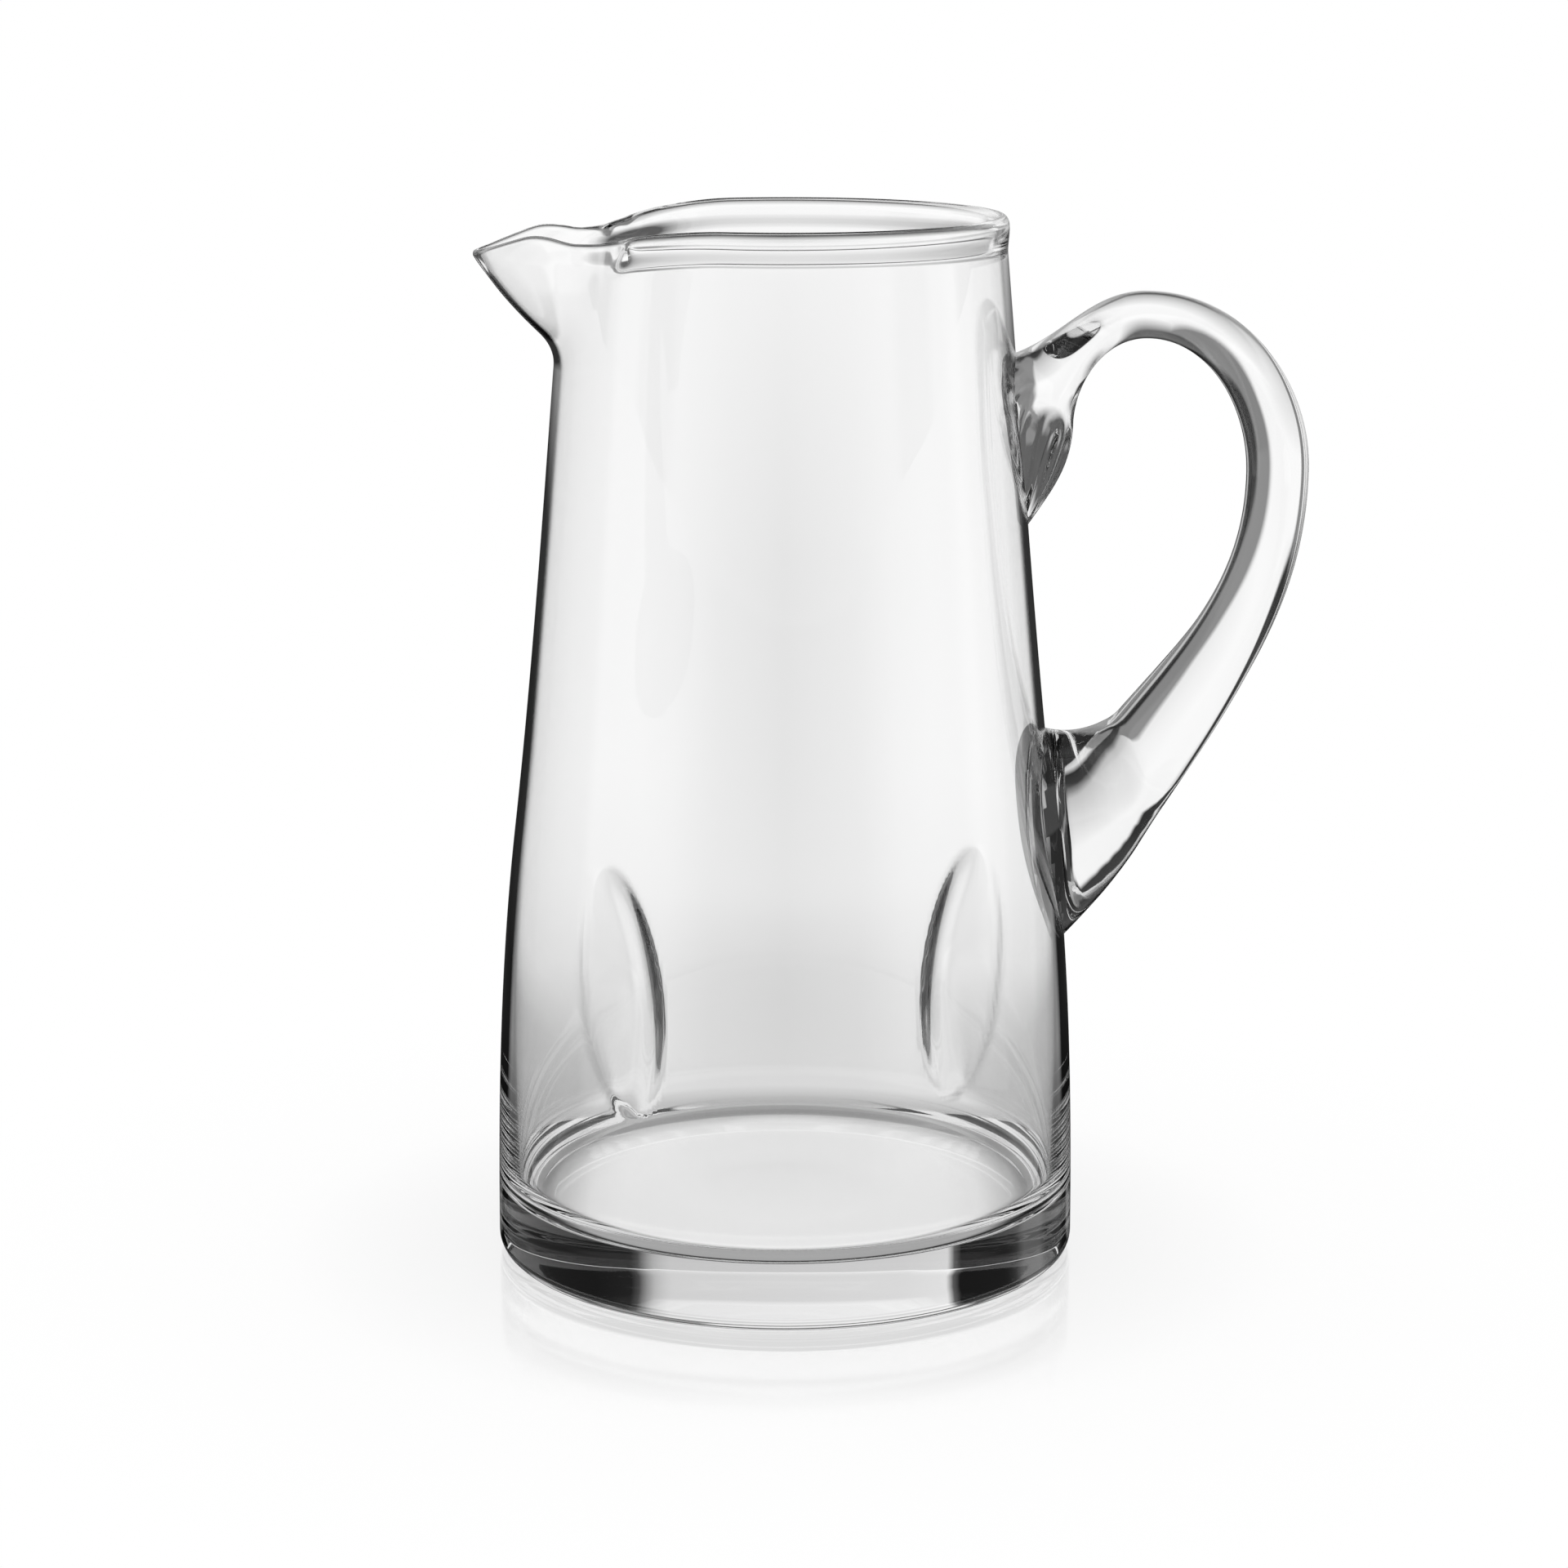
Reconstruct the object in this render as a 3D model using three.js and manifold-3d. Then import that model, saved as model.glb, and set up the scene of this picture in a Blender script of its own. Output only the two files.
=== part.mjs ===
// A glass cocktail pitcher, in millimetres, with +Z up.
// It is made of two gathers of clear glass: a blown vessel with a heavy base, a rounded rim and a pulled
// pouring lip, and a handle that was laid on hot at a broad lower pad and at a folded upper end.
// The origin is on the vessel's axis at the table. The lip points to -X and the handle to +X.
import * as THREE from 'three';
import { mergeVertices } from 'three/addons/utils/BufferGeometryUtils.js';
import Module from 'manifold-3d';

// Vessel: the outside of the body
const HEIGHT = 245;
const NECK_RADIUS = 50.4;
const NECK_TAPER = 0.09;
const SHOULDER_Z = 102;
const SHOULDER_RADIUS = 63.5;
const SHOULDER_TAPER = 0.12;
const HEEL_RADIUS = 68.5;
const HEEL_ROUND = 4;

// Vessel: the thickness of the glass
const WALL = 1.35;
const WALL_AT_BASE = 4.9;
const WALL_SWELL_Z = 150;
const BASE_THICKNESS = 14;
const FLOOR_FILLET = 9.5;
const BEAD_RADIUS = 2.3;

// Pouring lip, pulled out of the rim, which dips towards it and is pinched where its cheeks begin
const LIP_REACH = 20.7;
const LIP_DROOP = 6.2;
const LIP_DEPTH = 27.6;
const LIP_CHEEK = 31;
const LIP_TIP_ROUND = 5;
const LIP_BULGE = 0.3;
const LIP_ROOT_ROUND = 4.5;
const LIP_BEAD_RADIUS = 1.1;
const DROOP_HALF_WIDTH = 11.6;
const DIP = 3.5;
const DIP_END = 22.5;
const DIP_START = 66;
const SHOULDER_RISE = 2.9;
const PINCH_DEPTH = 1.8;
const PINCH_OFFSET = 36;
const PINCH_HALF_WIDTH = 4;
const PINCH_HEIGHT = 8;

// Two thumbprints pressed into the front wall, with angle in degrees from the lip and lean in degrees
const PRINTS = [
  { angle: 55, z: 76, lean: -9 },
  { angle: 128.5, z: 80, lean: 9 },
];
const PRINT_HEIGHT = 56;
const PRINT_WIDTH = 24;
const PRINT_DEPTH = 7.5;
const PRINT_POWER = 1.5;

// Handle: its two seats on the wall, and in degrees the way its edges leave them
const WELD_GAP = 0.3;
const SEAT_SINK = 6;
const PAD_SINK = 13;
const PAD_TOP_Z = 125.4;
const PAD_TOP_HEADING = -16;
const PAD_BOTTOM_Z = 75.5;
const PAD_BOTTOM_HEADING = 48;
const PAD_WIDTH = 36.5;
const PAD_FLARE = 1.25;
const BED_WIDTH = 50;
const SEAT_TOP_Z = 213;
const SEAT_TOP_HEADING = 200;
const TAIL_END_Z = 173.6;
const TAIL_WIDTH = 28;
const TAIL_TIP_WIDTH = 9;
const TAIL_TIP_HEADING = 235;
const TAIL_FOLD_Z = 197;
const TAIL_DEPTH = 12;

// Handle: its loop, from the throat above the pad, up the grip and over the crown
const HANDLE_REACH = 121.4;
const GRIP_Z = 186;
const GRIP_DEPTH = 15;
const GRIP_WIDTH = 18;
const CROWN_X = 83;
const CROWN_Z = 227.5;
const CROWN_DEPTH = 10.8;
const CROWN_WIDTH = 16.5;
const THROAT_X = 83.2;
const THROAT_Z = 117.6;
const THROAT_DEPTH = 25.4;
const THROAT_WIDTH = 23;
const THROAT_HEADING = 53.5;
const THROAT_TAPER = 7;
const THROAT_LEAN = 22;
const EDGE_PULL = 0.38;

// Handle: how square its section is, from an ellipse at 2, and how far in degrees it turns along the strap
const ROUND_SECTION = 2;
const SEAT_SECTION = 2.4;
const STRAP_SECTION = 3.2;
const ROOT_TURN = -18;
const THROAT_TURN = 4;
const GRIP_TURN = 24;

// Clear glass as it is shown
const VESSEL_COLOR = 0xf2f4f4;
const HANDLE_COLOR = 0xf4f5f5;
const POLISH_ROUGHNESS = 0.02;
const CLEAR_OPACITY = 0.35;

// Headings in side view, in degrees
const UP = 90;
const BACK = 180;
const DOWN = 270;

// Fineness of the facets
const ROUND_STEPS = 94;
const SCAN_STEPS = 7200;
const LIP_CROWDING = 2;
const LIP_SPREAD = 0.75;
const PRINT_CROWDING = 1.3;
const PRINT_SPREAD = 0.24;
const HEEL_STEPS = 3;
const LOW_STEPS = 2;
const PRINT_STEPS = 10;
const NECK_STEPS = 3;
const LIP_STEPS = 7;
const BEAD_STEPS = 9;
const FILLET_STEPS = 4;
const SECTION_STEPS = 20;
const PAD_STEPS = 8;
const LOOP_STEPS = 9;
const TAIL_STEPS = 7;

const wasm = await Module();
wasm.setup();

// Cubic from (z0, r0) to (z1, r1) that leaves and arrives at the given slopes
function cubicBetween(z, z0, r0, slope0, z1, r1, slope1) {
  const span = z1 - z0;
  const t = (z - z0) / span;
  const s = 1 - t;
  const ends = s * s * (1 + 2 * t) * r0 + t * t * (3 - 2 * t) * r1;
  return ends + span * t * s * (s * slope0 - t * slope1);
}

// Zero before the start, then a straight ramp, with the corner between them rounded
function softRamp(x, round) {
  if (x <= -round) return 0;
  if (x >= round) return x;
  return (x + round) ** 2 / (4 * round);
}

// Vessel: the wall as a surface of revolution, then as the hot glass was shaped
const BEAD_Z = HEIGHT - BEAD_RADIUS;

function outerRadius(z) {
  if (z < SHOULDER_Z) {
    return cubicBetween(z, 0, HEEL_RADIUS, 0, SHOULDER_Z, SHOULDER_RADIUS, -SHOULDER_TAPER);
  }
  return cubicBetween(z, SHOULDER_Z, SHOULDER_RADIUS, -SHOULDER_TAPER, BEAD_Z, NECK_RADIUS, -NECK_TAPER);
}

function wallThickness(z) {
  const swell = Math.max(0, 1 - z / WALL_SWELL_Z);
  return WALL + (WALL_AT_BASE - WALL) * swell * swell;
}

// How far the rim is pulled out, let down and pinched at an angle from the lip's middle
function rimPull(angle) {
  const along = Math.abs(angle) * NECK_RADIUS;
  const cheek = Math.hypot(along, LIP_TIP_ROUND) - LIP_TIP_ROUND;
  const whole = Math.hypot(LIP_CHEEK, LIP_TIP_ROUND) - LIP_TIP_ROUND;
  const beak = Math.max(0, 1 - cheek / whole) ** 2;
  const droop = LIP_DROOP * Math.exp(-((along / DROOP_HALF_WIDTH) ** 2));
  const dip = DIP * (1 - THREE.MathUtils.smoothstep(along, DIP_END, DIP_START));
  const rise = SHOULDER_RISE * (1 - THREE.MathUtils.smoothstep(along, DROOP_HALF_WIDTH, DIP_END));
  const pinch = PINCH_DEPTH * Math.exp(-(((along - PINCH_OFFSET) / PINCH_HALF_WIDTH) ** 2));
  return { out: LIP_REACH * beak, down: droop + dip - rise, pinch };
}

// Radius of the rim's bead, which ends at the pinches and leaves the lip thin
function beadRadius(angle) {
  const along = Math.abs(angle) * NECK_RADIUS;
  const pinchStart = PINCH_OFFSET - PINCH_HALF_WIDTH;
  const pinchEnd = PINCH_OFFSET + PINCH_HALF_WIDTH;
  const away = THREE.MathUtils.smoothstep(along, pinchStart, pinchEnd);
  return THREE.MathUtils.lerp(LIP_BEAD_RADIUS, BEAD_RADIUS, away);
}

// How far the wall is pressed in by the thumbprints
function printPress(angle, z) {
  let press = 0;
  for (const print of PRINTS) {
    const up = z - print.z;
    const turned = angle - THREE.MathUtils.degToRad(print.angle);
    const along = turned * outerRadius(z) - up * Math.tan(THREE.MathUtils.degToRad(print.lean));
    const edgeShare = (along / (PRINT_WIDTH / 2)) ** 2 + (up / (PRINT_HEIGHT / 2)) ** 2;
    press += PRINT_DEPTH * Math.max(0, 1 - edgeShare) ** PRINT_POWER;
  }
  return press;
}

// Middle of the wall at an angle from the lip, where z is the height before the lip was pulled
function wallMiddle(angle, z) {
  const rise = softRamp(z - (BEAD_Z - LIP_DEPTH), LIP_ROOT_ROUND) / LIP_DEPTH;
  const { out, down, pinch } = rimPull(angle);
  const nip = pinch * THREE.MathUtils.smoothstep(z, BEAD_Z - PINCH_HEIGHT, BEAD_Z);
  const pull = out * rise * (1 + LIP_BULGE * (1 - rise)) - nip;
  const radius = outerRadius(z) - wallThickness(z) / 2 + pull - printPress(angle, z);
  return new THREE.Vector3(-radius * Math.cos(angle), -radius * Math.sin(angle), z - down * rise);
}

// Outward normal and upward direction of the wall, from points close by
function wallFrame(angle, z) {
  const nudge = 1e-3;
  const middle = wallMiddle(angle, z);
  const around = wallMiddle(angle + nudge, z).sub(wallMiddle(angle - nudge, z));
  const up = wallMiddle(angle, z + nudge).sub(wallMiddle(angle, z - nudge)).normalize();
  const normal = around.cross(up).normalize();
  return { middle, normal, up };
}

// Point of the wall, offset outwards and upwards from its middle
function wallPoint(angle, z, outwards, upwards = 0) {
  const { middle, normal, up } = wallFrame(angle, z);
  return middle.addScaledVector(normal, outwards).addScaledVector(up, upwards);
}

// How close together the facets are at an angle from the lip's middle
function crowding(angle) {
  let density = 1 + LIP_CROWDING * Math.exp(-((angle / LIP_SPREAD) ** 2));
  for (const print of PRINTS) {
    const turned = angle - THREE.MathUtils.degToRad(print.angle);
    density += PRINT_CROWDING * Math.exp(-((turned / PRINT_SPREAD) ** 2));
  }
  return density;
}

// Angles from the lip's middle, closer together near the lip and the thumbprints
function spreadAngles() {
  const scan = steps(-Math.PI, Math.PI, SCAN_STEPS);
  const total = scan.slice(1).reduce((sum, angle) => sum + crowding(angle), 0);
  const angles = [];
  let passed = 0;
  for (const angle of scan.slice(1)) {
    if (passed >= (angles.length / ROUND_STEPS) * total) angles.push(angle);
    passed += crowding(angle);
  }
  return angles.slice(0, ROUND_STEPS);
}

function steps(from, to, count) {
  return Array.from({ length: count + 1 }, (_, i) => from + ((to - from) * i) / count);
}

const roundAngles = spreadAngles();

// Closed solid through rings of points, all of one count, with a fan closing each end
function loftSolid(rings, firstCentre, lastCentre) {
  const count = rings[0].length;
  const corners = [...rings.flat(), firstCentre, lastCentre];
  const first = corners.length - 2;
  const last = corners.length - 1;
  const lastRing = (rings.length - 1) * count;
  const triangles = [];
  for (let i = 0; i < count; i += 1) {
    const next = (i + 1) % count;
    triangles.push(first, next, i);
    triangles.push(last, lastRing + i, lastRing + next);
    for (let ring = 0; ring < rings.length - 1; ring += 1) {
      const low = ring * count;
      const high = low + count;
      triangles.push(low + i, low + next, high + next);
      triangles.push(low + i, high + next, high + i);
    }
  }
  const geometry = new THREE.BufferGeometry().setFromPoints(corners);
  geometry.setIndex(triangles);
  return geometry;
}

function roundRing(radius, z) {
  return roundAngles.map((a) => new THREE.Vector3(-radius * Math.cos(a), -radius * Math.sin(a), z));
}

function wallRing(z, outwards) {
  return roundAngles.map((angle) => wallPoint(angle, z, outwards));
}

// Ring of the bead, where part runs from 0 at the outer wall over the top to 1 at the inner wall
function beadRing(part) {
  return roundAngles.map((angle) => {
    const radius = beadRadius(angle);
    const meet = Math.asin(WALL / 2 / radius) - Math.PI / 2;
    const turn = THREE.MathUtils.lerp(meet, Math.PI - meet, part);
    return wallPoint(angle, BEAD_Z, radius * Math.cos(turn), radius * Math.sin(turn));
  });
}

// Heights of the rows of facets on the wall, closer together at the thumbprints and at the lip
const FLOOR_TOP_Z = BASE_THICKNESS + FLOOR_FILLET;
const LIP_ROOT_Z = BEAD_Z - LIP_DEPTH - LIP_ROOT_ROUND;
const WALL_TOP_Z = BEAD_Z - BEAD_RADIUS;
const PRINTS_LOW_Z = Math.min(...PRINTS.map((print) => print.z)) - PRINT_HEIGHT / 2;
const PRINTS_HIGH_Z = Math.max(...PRINTS.map((print) => print.z)) + PRINT_HEIGHT / 2;
const wallHeights = [
  ...steps(FLOOR_TOP_Z, PRINTS_LOW_Z, LOW_STEPS),
  ...steps(PRINTS_LOW_Z, PRINTS_HIGH_Z, PRINT_STEPS).slice(1),
  ...steps(PRINTS_HIGH_Z, LIP_ROOT_Z, NECK_STEPS).slice(1),
  ...steps(LIP_ROOT_Z, WALL_TOP_Z, LIP_STEPS).slice(1),
];

function makeVessel() {
  const rings = [];
  for (const turn of steps(-Math.PI / 2, 0, HEEL_STEPS)) {
    const radius = outerRadius(HEEL_ROUND) + HEEL_ROUND * (Math.cos(turn) - 1);
    rings.push(roundRing(radius, HEEL_ROUND * (1 + Math.sin(turn))));
  }
  for (const z of wallHeights) {
    rings.push(wallRing(z, wallThickness(z) / 2));
  }
  for (const part of steps(0, 1, BEAD_STEPS)) {
    rings.push(beadRing(part));
  }
  for (const z of wallHeights.toReversed()) {
    rings.push(wallRing(z, -wallThickness(z) / 2));
  }
  const innerRadius = outerRadius(FLOOR_TOP_Z) - wallThickness(FLOOR_TOP_Z);
  for (const turn of steps(0, -Math.PI / 2, FILLET_STEPS).slice(1)) {
    const radius = innerRadius + FLOOR_FILLET * (Math.cos(turn) - 1);
    rings.push(roundRing(radius, FLOOR_TOP_Z + FLOOR_FILLET * Math.sin(turn)));
  }
  return loftSolid(rings, new THREE.Vector3(0, 0, 0), new THREE.Vector3(0, 0, BASE_THICKNESS));
}

// Solid that fills the vessel to just outside its wall, to trim the handle's seats
function makeSeatCutter() {
  const rings = wallHeights.map((z) => wallRing(z, wallThickness(z) / 2 + WELD_GAP));
  const low = new THREE.Vector3(0, 0, wallHeights[0]);
  const high = new THREE.Vector3(0, 0, wallHeights.at(-1));
  return loftSolid(rings, low, high);
}

// Handle: where its inner and outer edges pass in side view, the way each heads there, and its width, which
// flares towards the pad and changes smoothly elsewhere
function edge(x, z, headingDegrees) {
  const heading = THREE.MathUtils.degToRad(headingDegrees);
  return { point: new THREE.Vector2(x, z), way: new THREE.Vector2(Math.cos(heading), Math.sin(heading)) };
}

function throatEdge(side) {
  const across = THREE.MathUtils.degToRad(THROAT_LEAN + 90);
  const x = THROAT_X + (side * Math.cos(across) * THROAT_DEPTH) / 2;
  const z = THROAT_Z + (side * Math.sin(across) * THROAT_DEPTH) / 2;
  return edge(x, z, THROAT_HEADING - (side * THROAT_TAPER) / 2);
}

const handleStations = [
  {
    inner: edge(outerRadius(PAD_TOP_Z) - PAD_SINK, PAD_TOP_Z, PAD_TOP_HEADING),
    outer: edge(outerRadius(PAD_BOTTOM_Z) - PAD_SINK, PAD_BOTTOM_Z, PAD_BOTTOM_HEADING),
    width: BED_WIDTH,
    flare: 1,
    squareness: SEAT_SECTION,
    turn: 0,
    steps: 1,
  },
  {
    inner: edge(outerRadius(PAD_TOP_Z), PAD_TOP_Z, PAD_TOP_HEADING),
    outer: edge(outerRadius(PAD_BOTTOM_Z), PAD_BOTTOM_Z, PAD_BOTTOM_HEADING),
    width: PAD_WIDTH,
    flare: PAD_FLARE,
    squareness: SEAT_SECTION,
    turn: ROOT_TURN,
    steps: PAD_STEPS,
  },
  {
    inner: throatEdge(1),
    outer: throatEdge(-1),
    width: THROAT_WIDTH,
    squareness: STRAP_SECTION,
    turn: THROAT_TURN,
    steps: LOOP_STEPS,
  },
  {
    inner: edge(HANDLE_REACH - GRIP_DEPTH, GRIP_Z, UP),
    outer: edge(HANDLE_REACH, GRIP_Z, UP),
    width: GRIP_WIDTH,
    squareness: STRAP_SECTION,
    turn: GRIP_TURN,
    steps: LOOP_STEPS,
  },
  {
    inner: edge(CROWN_X, CROWN_Z - CROWN_DEPTH, BACK),
    outer: edge(CROWN_X, CROWN_Z, BACK),
    width: CROWN_WIDTH,
    squareness: ROUND_SECTION,
    turn: 0,
    steps: LOOP_STEPS,
  },
  {
    inner: edge(outerRadius(TAIL_FOLD_Z) + TAIL_DEPTH, TAIL_FOLD_Z, DOWN),
    outer: edge(outerRadius(SEAT_TOP_Z), SEAT_TOP_Z, SEAT_TOP_HEADING),
    width: TAIL_WIDTH,
    squareness: SEAT_SECTION,
    turn: 0,
    steps: TAIL_STEPS,
  },
  {
    inner: edge(outerRadius(TAIL_END_Z), TAIL_END_Z, TAIL_TIP_HEADING),
    outer: edge(outerRadius(TAIL_END_Z) - SEAT_SINK, TAIL_END_Z, DOWN),
    width: TAIL_TIP_WIDTH,
    squareness: SEAT_SECTION,
    turn: 0,
    steps: 0,
  },
];

// Curve from one edge point to the next that keeps both headings
function edgeCurve(from, to) {
  const pull = from.point.distanceTo(to.point) * EDGE_PULL;
  return new THREE.CubicBezierCurve(
    from.point,
    from.point.clone().addScaledVector(from.way, pull),
    to.point.clone().addScaledVector(to.way, -pull),
    to.point,
  );
}

// Rounded section of the handle between its two edge points, turned but still as deep and as wide as asked
function handleSection(inner, outer, width, squareness, turnDegrees) {
  const depth = inner.distanceTo(outer);
  const turned = THREE.MathUtils.degToRad(turnDegrees);
  const outline = Array.from({ length: SECTION_STEPS }, (_, i) => {
    const at = (-2 * Math.PI * i) / SECTION_STEPS;
    const across = Math.sign(Math.cos(at)) * Math.abs(Math.cos(at)) ** (2 / squareness);
    const side = Math.sign(Math.sin(at)) * Math.abs(Math.sin(at)) ** (2 / squareness);
    return new THREE.Vector2(across * depth, side * width).rotateAround(new THREE.Vector2(), turned);
  });
  const deepest = Math.max(...outline.map((point) => Math.abs(point.x)));
  const widest = Math.max(...outline.map((point) => Math.abs(point.y)));
  return outline.map((point) => {
    const place = outer.clone().lerp(inner, (1 + point.x / deepest) / 2);
    return new THREE.Vector3(place.x, ((point.y / widest) * width) / 2, place.y);
  });
}

function makeHandle() {
  const rings = [];
  for (let i = 0; i < handleStations.length - 1; i += 1) {
    const from = handleStations[i];
    const to = handleStations[i + 1];
    const innerCurve = edgeCurve(from.inner, to.inner);
    const outerCurve = edgeCurve(from.outer, to.outer);
    for (const t of steps(0, 1, from.steps).slice(i === 0 ? 0 : 1)) {
      const blend = THREE.MathUtils.smoothstep(t, 0, 1);
      const narrowing = from.flare ? 1 - (1 - t) ** from.flare : blend;
      const width = THREE.MathUtils.lerp(from.width, to.width, narrowing);
      const squareness = THREE.MathUtils.lerp(from.squareness, to.squareness, blend);
      const turn = THREE.MathUtils.lerp(from.turn, to.turn, blend);
      rings.push(handleSection(innerCurve.getPoint(t), outerCurve.getPoint(t), width, squareness, turn));
    }
  }
  const ends = [rings[0], rings.at(-1)].map((ring) => {
    const sum = ring.reduce((total, point) => total.add(point), new THREE.Vector3());
    return sum.divideScalar(ring.length);
  });
  return loftSolid(rings, ends[0], ends[1]);
}

// Booleans
function toSolid(geometry) {
  const merged = mergeVertices(geometry);
  const vertProperties = new Float32Array(merged.attributes.position.array);
  const triVerts = new Uint32Array(merged.index.array);
  return new wasm.Manifold(new wasm.Mesh({ numProp: 3, vertProperties, triVerts }));
}

function toGeometry(solid) {
  const mesh = solid.getMesh();
  const geometry = new THREE.BufferGeometry();
  geometry.setAttribute('position', new THREE.BufferAttribute(mesh.vertProperties, 3));
  geometry.setIndex(new THREE.BufferAttribute(mesh.triVerts, 1));
  return geometry;
}

function addPiece(group, name, geometry, color) {
  geometry.computeVertexNormals();
  const material = new THREE.MeshStandardMaterial({
    color,
    roughness: POLISH_ROUGHNESS,
    metalness: 0,
    transparent: true,
    opacity: CLEAR_OPACITY,
  });
  const mesh = new THREE.Mesh(geometry, material);
  mesh.name = name;
  group.add(mesh);
}

const group = new THREE.Group();
addPiece(group, 'vessel', makeVessel(), VESSEL_COLOR);
const trimmedHandle = toSolid(makeHandle()).subtract(toSolid(makeSeatCutter()));
addPiece(group, 'handle', toGeometry(trimmedHandle), HANDLE_COLOR);

export default group;
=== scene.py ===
"""A glass cocktail pitcher: its visual model, stage and camera, in metres, in the frame of the solids."""
import math

import bpy
import numpy as np
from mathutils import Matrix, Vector
from mathutils.bvhtree import BVHTree


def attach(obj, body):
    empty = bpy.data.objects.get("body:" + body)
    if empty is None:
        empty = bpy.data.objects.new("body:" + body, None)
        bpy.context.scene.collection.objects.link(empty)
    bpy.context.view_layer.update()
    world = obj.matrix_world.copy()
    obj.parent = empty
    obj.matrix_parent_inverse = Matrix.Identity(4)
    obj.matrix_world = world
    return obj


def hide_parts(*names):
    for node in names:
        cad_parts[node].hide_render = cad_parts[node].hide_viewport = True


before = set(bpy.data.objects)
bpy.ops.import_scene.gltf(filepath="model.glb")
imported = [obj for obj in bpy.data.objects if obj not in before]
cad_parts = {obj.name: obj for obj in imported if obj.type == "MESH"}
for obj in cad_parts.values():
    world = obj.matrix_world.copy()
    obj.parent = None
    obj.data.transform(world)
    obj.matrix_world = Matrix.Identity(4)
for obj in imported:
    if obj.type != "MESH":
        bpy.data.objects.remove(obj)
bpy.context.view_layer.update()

MM = 0.001

# The meshes are made at this share of the sizes below, so that they stay inside the solids' box
FIT = 0.9992

# Vessel: the outside of the body, in millimetres like all sizes of the pieces
HEIGHT = 245.0
NECK_RADIUS = 50.4
NECK_TAPER = 0.09
SHOULDER_Z = 102.0
SHOULDER_RADIUS = 63.5
SHOULDER_TAPER = 0.12
HEEL_RADIUS = 68.5
HEEL_ROUND = 4.0

# Vessel: the thickness of the glass
WALL = 1.35
WALL_AT_BASE = 4.9
WALL_SWELL_Z = 150.0
BASE_THICKNESS = 14.0
DISH_RADIUS = 23.5
DISH_DEPTH = 0.15
FLOOR_FILLET = 9.5
BEAD_RADIUS = 2.3
RIM_HALF = 1.5
RIM_DEPTH = 6.5

# Pouring lip, pulled out of the rim, which dips towards it and is pinched at each side of it
LIP_REACH = 20.7
LIP_DROOP = 6.2
LIP_DEPTH = 27.6
LIP_CHEEK = 31.0
LIP_TIP_ROUND = 5.0
LIP_BULGE = 0.3
LIP_ROOT_ROUND = 4.5
LIP_BEAD_RADIUS = 1.1
LIP_RIM_HALF = 0.9
LIP_RIM_BLEND = 10.0
DROOP_HALF_WIDTH = 11.6
DIP = 3.5
DIP_END = 22.5
DIP_START = 66.0
SHOULDER_RISE = 2.9
PINCH_DEPTH = 1.8
PINCH_OFFSET = 36.0
PINCH_HALF_WIDTH = 4.0
PINCH_HEIGHT = 8.0
BACK_PINCH_SHARE = 0.25
BACK_FOLD = 1.1
BACK_FOLD_HALF_WIDTH = 11.0

# Two thumbprints in the front wall: degrees from the lip, height of the middle, and lean in degrees
PRINTS = ((55.0, 76.0, -9.0), (128.5, 80.0, 9.0))
PRINT_HEIGHT = 56.0
PRINT_WIDTH = 24.0
PRINT_DEPTH = 7.5
PRINT_POWER = 1.5
PRINT_SOFTNESS = 0.9
FRONT = 90

# Handle: its two seats on the wall, and in degrees the way its edges leave them
SEAT_OVERLAP = 1.0
SEAT_SINK = 6.0
PAD_SINK = 13.0
PAD_TOP_Z = 125.4
PAD_TOP_HEADING = -16
PAD_BOTTOM_Z = 75.5
PAD_BOTTOM_HEADING = 48
PAD_WIDTH = 36.5
BED_WIDTH = 50.0
BED_START = 0.05
PAD_FLARE = 1.25
SEAT_TOP_Z = 213.0
SEAT_TOP_HEADING = 200
TAIL_END_Z = 173.6
TAIL_WIDTH = 28.0
TAIL_TIP_WIDTH = 9.0
TAIL_TIP_HEADING = 235
TAIL_FOLD_Z = 197.0
TAIL_DEPTH = 12.0
TAIL_RIDGES = 11
TAIL_RIDGE_DEPTH = 0.1
TAIL_RIDGE_FADE = 0.2

# Handle: its loop, from the throat above the pad, up the grip and over the crown
HANDLE_REACH = 121.4
GRIP_Z = 186.0
GRIP_DEPTH = 15.0
GRIP_WIDTH = 18.0
CROWN_X = 83.0
CROWN_Z = 227.5
CROWN_DEPTH = 10.8
CROWN_WIDTH = 16.5
THROAT_X = 83.2
THROAT_Z = 117.6
THROAT_DEPTH = 25.4
THROAT_WIDTH = 23.0
THROAT_HEADING = 53.5
THROAT_TAPER = 7.0
THROAT_LEAN = 22.0
EDGE_PULL = 0.38
UPWARDS = 90
TO_VESSEL = 180
DOWNWARDS = 270

# Handle: how square its section is, where 2 is an ellipse, and how far it is twisted, in degrees
OVAL = 2.0
SOFT = 2.4
SQUARE = 3.2
PAD_TWIST = -18
THROAT_TWIST = 4
GRIP_TWIST = 24
UNTWIST_FROM = 0.3
UNTWIST_TO = 0.95

# Handle: its spans between two stations that are not eased like the rest
BED_SPAN = 0
PAD_SPAN = 1
CROWN_SPAN = 3
TAIL_SPAN = 5

# Fineness of the meshes: steps round the vessel, closer at lip and thumbprints, and along the handle
ROUND_STEPS = 270
ANGLE_SAMPLES = 20001
LIP_CLOSENESS = 2.0
LIP_SPREAD = 0.55
PRINT_CLOSENESS = 1.4
PRINT_SPREAD = 0.24
SECTION_STEPS = 72
LOOP_STEPS = 40
SEAT_STEPS = 12
BED_STEPS = 14
NUDGE = 1e-3
STEP_PAST = 1e-6

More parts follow.
